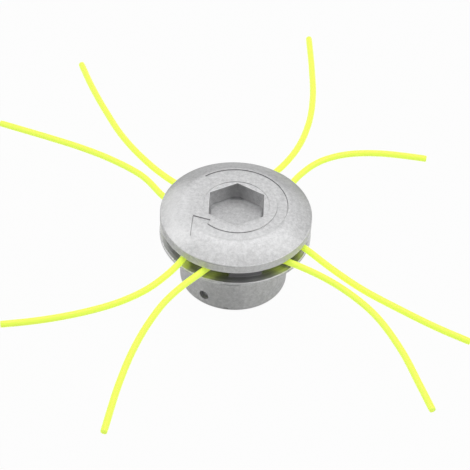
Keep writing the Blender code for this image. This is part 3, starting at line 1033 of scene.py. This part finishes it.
def makeHub(h):
    shape = newShape()
    top, chamfer, ceiling = h["flangeTop"], h["flangeChamfer"], h["ceiling"]
    r, under, fillet, edge = h["flangeRadius"], h["flangeUnder"], h["fillet"], h["skirtEdge"]
    skirt, boss, end = h["skirtRadius"], h["bossRadius"], h["bossEnd"]
    cup = skirt - h["skirtWall"]
    hole, holeSides = h["screwHole"], h["screwHoleSides"]
    boreRing = circle(h["bore"], h["boreSides"])
    screwRings = [circle(hole, holeSides, place) for place in screwPlaces]
    # The flange's outer ring carries a painted highlight, and the posts painted shade
    loops = [(circle(r - chamfer, h["sides"]), top, 0.5)]
    loops += [(ring, top, 0) for ring in (boreRing, *screwRings)]
    loops += [(circle(r - chamfer - shift * mm, h["sides"]), top, 0) for shift in flangeRings]
    for azimuth in postAzimuths:
        post = postOutline(azimuth)
        for rows, level in ((postFootRows, top), (postTopRows, h["postTop"])):
            loops += [(offset(post, shift * mm), level + z * mm, -0.6) for shift, z in rows]
    addSheet(shape, loops, holes=[boreRing, *screwRings])
    # The flange's chamfer carries a painted highlight and its lower edge painted shade; the skirt is
    # painted darker towards its foot and along its lower edge
    profile = [(r - chamfer, top, 0.5), (r - 0.06 * mm, top - chamfer + 0.08 * mm, 1),
               (r, top - chamfer - 0.1 * mm, 0.4), (r, top - 0.8 * mm, 0), (r, under + 0.4 * mm, 0),
               (r - 0.12 * mm, under + 0.12 * mm, -0.2), (r - 0.4 * mm, under, -0.5)]
    profile += rounding(skirt + fillet, under - fillet, fillet, 90, 180)
    profile += [(skirt, z * mm, -0.2 * (1 - z / skirtRings[0])) for z in skirtRings]
    profile += [(skirt, edge + 0.1 * mm, -0.3), (skirt - 0.15 * mm, edge * 0.35, -0.4),
                (skirt - edge, 0.0, -0.3), (cup + edge, 0.0, 0.1), (cup + 0.1 * mm, edge * 0.4, 0.2),
                (cup, edge, 0)]
    profile += rounding(cup - fillet, ceiling - fillet, fillet, 0, 90)
    addTurned(shape, profile, h["sides"])
    ceilingRing, bossRing = circle(cup - fillet, h["sides"]), circle(boss + fillet, h["boreSides"])
    loops = [(ring, ceiling, 0) for ring in (ceilingRing, bossRing, *screwRings)]
    addSheet(shape, loops, holes=[bossRing, *screwRings])
    profile = rounding(boss + fillet, ceiling - fillet, fillet, 90, 180)
    profile += rounding(boss - 0.5 * mm, end + 0.5 * mm, 0.5 * mm, 0, -90, 0.2)
    profile += [(h["bore"] + 0.3 * mm, end, 0.2), (h["bore"], end + 0.3 * mm, 0), (h["bore"], top, 0)]
    addTurned(shape, profile, h["boreSides"])
    for place in screwPlaces:
        addTurned(shape, [(hole, ceiling, 0), (hole, top, 0)], holeSides, place)
    addPaintedLightAndShade(shape, hubTone)
    piece = newObject("hubCasting", closedMesh(shape, "hubCasting"))
    pin = drill("pin", h["pinHoleRadius"], h["pinHoleHeight"], h["pinHoleAzimuth"], cup - 2 * mm,
                skirt + 2 * mm)
    nick = drill("nick", h["nickRadius"], 0.0, h["nickAzimuth"], cup - 1 * mm, skirt + 1 * mm, 12)
    mesh = cutAway(piece, [pin, nick])
    # The nick is painted dark, as shade inside it
    nickPlace = Vector((*polar(skirt, h["nickAzimuth"]), 0))
    lightAndWear = mesh.attributes["paintedLightAndWear"].data
    for vertex in mesh.vertices:
        if (vertex.co - nickPlace).length < h["nickRadius"] + 0.5 * mm:
            lightAndWear[vertex.index].value = -1.0
    finishPiece("hubCasting", mesh, castAluminium, ["hub_body"])


makeHub(hub)


# Fasteners: one screw and one spring washer, set round the axis by Geometry Nodes
fasteners = {
    "headRadius": (screwHigh.x - screwLow.x) / 2,
    "headHeight": 5.0 * mm,
    "shankRadius": 2.5 * mm,
    "keyFlats": 4.0 * mm,
    "keyDepth": 2.6 * mm,
    "knurls": 36,
    "knurlDepth": 0.14 * mm,
    "washerRadius": (washerHigh.x - washerLow.x) / 2,
    "washerBore": 2.8 * mm,
    "washerSplit": 0.8 * mm,
}
ringSizes = {
    "Count": len(screwPlaces),
    "Ring Radius": layout["screwCircle"],
    "First Azimuth": screwAzimuths[0],
    "Spin": 1.1,
}


# Sets a piece round the axis, each one spun a little further than the one before
def makeRingTree(sizes):
    tree, entry = newGeometryTree("fastenerRing", sizes)
    get = entry.outputs
    ring = addNode(tree, "GeometryNodeMeshCircle", Vertices=get["Count"], Radius=get["Ring Radius"])
    turn = addNode(tree, "ShaderNodeCombineXYZ", Z=get["First Azimuth"])
    turned = addNode(tree, "GeometryNodeTransform", Geometry=ring.outputs[0], Rotation=turn.outputs[0])
    index = addNode(tree, "GeometryNodeInputIndex").outputs[0]
    spin = addNode(tree, "ShaderNodeCombineXYZ", Z=addMath(tree, "MULTIPLY", index, get["Spin"]))
    placed = addNode(tree, "GeometryNodeInstanceOnPoints", Points=turned.outputs[0],
                     Instance=get["Geometry"], Rotation=spin.outputs[0])
    endGeometryTree(tree, entry, placed.outputs[0])
    return tree


ringTree = makeRingTree(ringSizes)


def screwMesh(f):
    shape = newShape()
    low, high, head, shank = screwLow.z, screwHigh.z, f["headRadius"], f["shankRadius"]
    seat, flats, sides = low + f["headHeight"], f["keyFlats"], 144
    rings = [(head - 0.45 * mm, low, 0), (head - 0.15 * mm, low + 0.12 * mm, 0),
             (head, low + 0.45 * mm, 1), (head, seat - 0.3 * mm, 1), (head - 0.2 * mm, seat, 0),
             (shank + 0.3 * mm, seat, 0), (shank, seat + 0.3 * mm, 0), (shank, high - 0.5 * mm, 0),
             (shank - 0.5 * mm, high, 0)]
    made = []
    for radius, z, knurled in rings:
        made.append([])
        for k in range(sides):
            angle = math.tau * k / sides
            cut = f["knurlDepth"] * knurled * (0.5 - 0.5 * math.cos(angle * f["knurls"]))
            made[-1].append(addVert(shape, *polar(radius - cut, angle), z))
    for across, z in ((flats + 0.3 * mm, low), (flats, low + 0.15 * mm), (flats, low + f["keyDepth"])):
        made.insert(0, [addVert(shape, x, y, z) for x, y in hexLoop(across, count=sides)])
    joinRings(shape, made)
    shape.faces.new(made[0])
    shape.faces.new(made[-1])
    return closedMesh(shape, "clampScrew", turnedSharp)


def washerMesh(f):
    shape = newShape()
    gap = f["washerSplit"] / f["washerRadius"] / 2
    sides, edge = 60, 0.12 * mm
    low, high, inner, outer = washerLow.z, washerHigh.z, f["washerBore"], f["washerRadius"]
    section = [(inner + edge, low), (outer - edge, low), (outer, low + edge), (outer, high - edge),
               (outer - edge, high), (inner + edge, high), (inner, high - edge), (inner, low + edge)]
    rings = []
    for k in range(sides + 1):
        angle = gap + (math.tau - 2 * gap) * k / sides
        rings.append([addVert(shape, *polar(r, angle), z) for r, z in section])
    joinRings(shape, rings)
    shape.faces.new(rings[0])
    shape.faces.new(rings[-1])
    return closedMesh(shape, "lockWasher", turnedSharp)


def placeRing(name, mesh, material, stem):
    ringMesh = grown(newObject(name + "Single", mesh), ringTree, ringSizes, material, name)
    nodes = [f"{stem}_{k + 1}" for k in range(ringSizes["Count"])]
    finishPiece(name, ringMesh, material, nodes)


placeRing("clampScrews", screwMesh(fasteners), blackSteel, "clamp_screw")
placeRing("lockWashers", washerMesh(fasteners), zincSteel, "lock_washer")
print("fasteners set")


# Arbor nut: hexagonal flange in the cover's pocket, sleeve down through the boss, left-hand thread inside
arborNut = {
    "flats": 19.0 * mm,
    "flangeThickness": 2.6 * mm,
    "sleeveRadius": 8.0 * mm,
    "chamfer": 0.7 * mm,
    "coreRadius": 4.35 * mm,
    "threadRadius": 4.95 * mm,
    "pitch": 1.25 * mm,
    "sides": 144,
    "ringsPerPitch": 8,
}


def makeArborNut(n):
    shape = newShape()
    low, high, sides = nutLow.z, nutHigh.z, n["sides"]
    under, flats = high - n["flangeThickness"], n["flats"]
    sleeve, thread, core = n["sleeveRadius"], n["threadRadius"], n["coreRadius"]
    outer = [(hexLoop(flats - 0.8 * mm), high), (hexLoop(flats), high - 0.3 * mm),
             (hexLoop(flats), under + 0.2 * mm), (hexLoop(flats - 0.4 * mm), under),
             (circle(sleeve, sides), under), (circle(sleeve, sides), low + n["chamfer"]),
             (circle(sleeve - 0.15 * mm, sides), low + 0.2 * mm),
             (circle(sleeve - n["chamfer"], sides), low)]
    mouth = thread + 0.25 * mm
    count = round((high - low) / n["pitch"] * n["ringsPerPitch"])
    inner = []
    for k in range(count + 1):
        z = low + (high - low) * k / count
        ring = []
        for i in range(sides):
            angle = math.tau * i / sides
            phase = (z / n["pitch"] + angle / math.tau) % 1
            tooth = min(1.0, max(0.0, abs(phase * 2 - 1) * 1.3 - 0.1))
            radius = thread - (thread - core) * tooth
            ring.append(polar(max(radius, mouth - min(z - low, high - z)), angle))
        inner.append((ring, z))
    rings = [[addVert(shape, x, y, z) for x, y in outline] for outline, z in outer + inner]
    joinRings(shape, rings + rings[:1])
    mesh = closedMesh(shape, "arborNut", turnedSharp)
    finishPiece("arborNut", mesh, zincSteel, ["arbor_nut"])


makeArborNut(arborNut)


# Stage: white floor with a soft shadow and darker inside the cup, white surroundings, soft lamps
studio = {
    "floorSize": 6.0,
    "floorColour": (0.6, 0.6, 0.6, 1),
    "cupEdge": (28.1 * mm, 28.6 * mm),
    "whiteShares": (0.12, 0.97),
    "worldLevels": (0.04, 1.0),
    "lampSize": 0.9,
    "lamps": {
        "topSoftbox": ((0.0, 0.0, 1.35), 2.9),
        "backSoftbox": ((0.0, 0.46, 1.27), 2.7),
        "leftSoftbox": ((-0.95, 0.0, 0.95), 3.2),
        "rightSoftbox": ((0.95, 0.0, 0.95), 4.5),
    },
}


# One where a camera, glossy or transmission ray looks, and nought for the rays that light the object
def seenDirectly(tree):
    path = addNode(tree, "ShaderNodeLightPath")
    most = path.outputs["Is Camera Ray"]
    for name in ("Is Glossy Ray", "Is Transmission Ray"):
        most = addMath(tree, "MAXIMUM", most, path.outputs[name])
    return most


def makeFloor(s):
    shape = bmesh.new()
    bmesh.ops.create_grid(shape, x_segments=1, y_segments=1, size=s["floorSize"] / 2)
    mesh = toMesh(shape, "studioFloor")
    floor = newObject("studioFloor", mesh)
    material = bpy.data.materials.new("studioPaper")
    tree = emptyTree(material)
    paper = addNode(tree, "ShaderNodeBsdfDiffuse", Color=s["floorColour"])
    white = addNode(tree, "ShaderNodeEmission", Color=(1, 1, 1, 1), Strength=1.0)
    length = addNode(tree, "ShaderNodeVectorMath", {"operation": "LENGTH"}, Vector=objectCoords(tree))
    whiteness = addMapRange(tree, length.outputs["Value"], s["cupEdge"], s["whiteShares"])
    share = addMath(tree, "MULTIPLY", seenDirectly(tree), whiteness)
    mix = addNode(tree, "ShaderNodeMixShader", Fac=share)
    tree.links.new(paper.outputs[0], mix.inputs[1])
    tree.links.new(white.outputs[0], mix.inputs[2])
    addNode(tree, "ShaderNodeOutputMaterial", Surface=mix.outputs[0])
    mesh.materials.append(material)


def makeWorld(s):
    world = bpy.data.worlds.new("studio")
    bpy.context.scene.world = world
    tree = emptyTree(world)
    level = addMapRange(tree, seenDirectly(tree), (0.0, 1.0), s["worldLevels"])
    background = addNode(tree, "ShaderNodeBackground", Color=(1, 1, 1, 1), Strength=level)
    addNode(tree, "ShaderNodeOutputWorld", Surface=background.outputs[0])


def makeLamps(s):
    for name, (place, power) in s["lamps"].items():
        data = bpy.data.lights.new(name, "AREA")
        data.shape = "SQUARE"
        data.size = s["lampSize"]
        data.energy = power
        ob = newObject(name, data)
        ob.location = place
        ob.rotation_euler = Vector(place).to_track_quat("Z", "Y").to_euler()


makeFloor(studio)
makeWorld(studio)
makeLamps(studio)
bpy.context.scene.view_settings.view_transform = "Standard"
print("stage set")
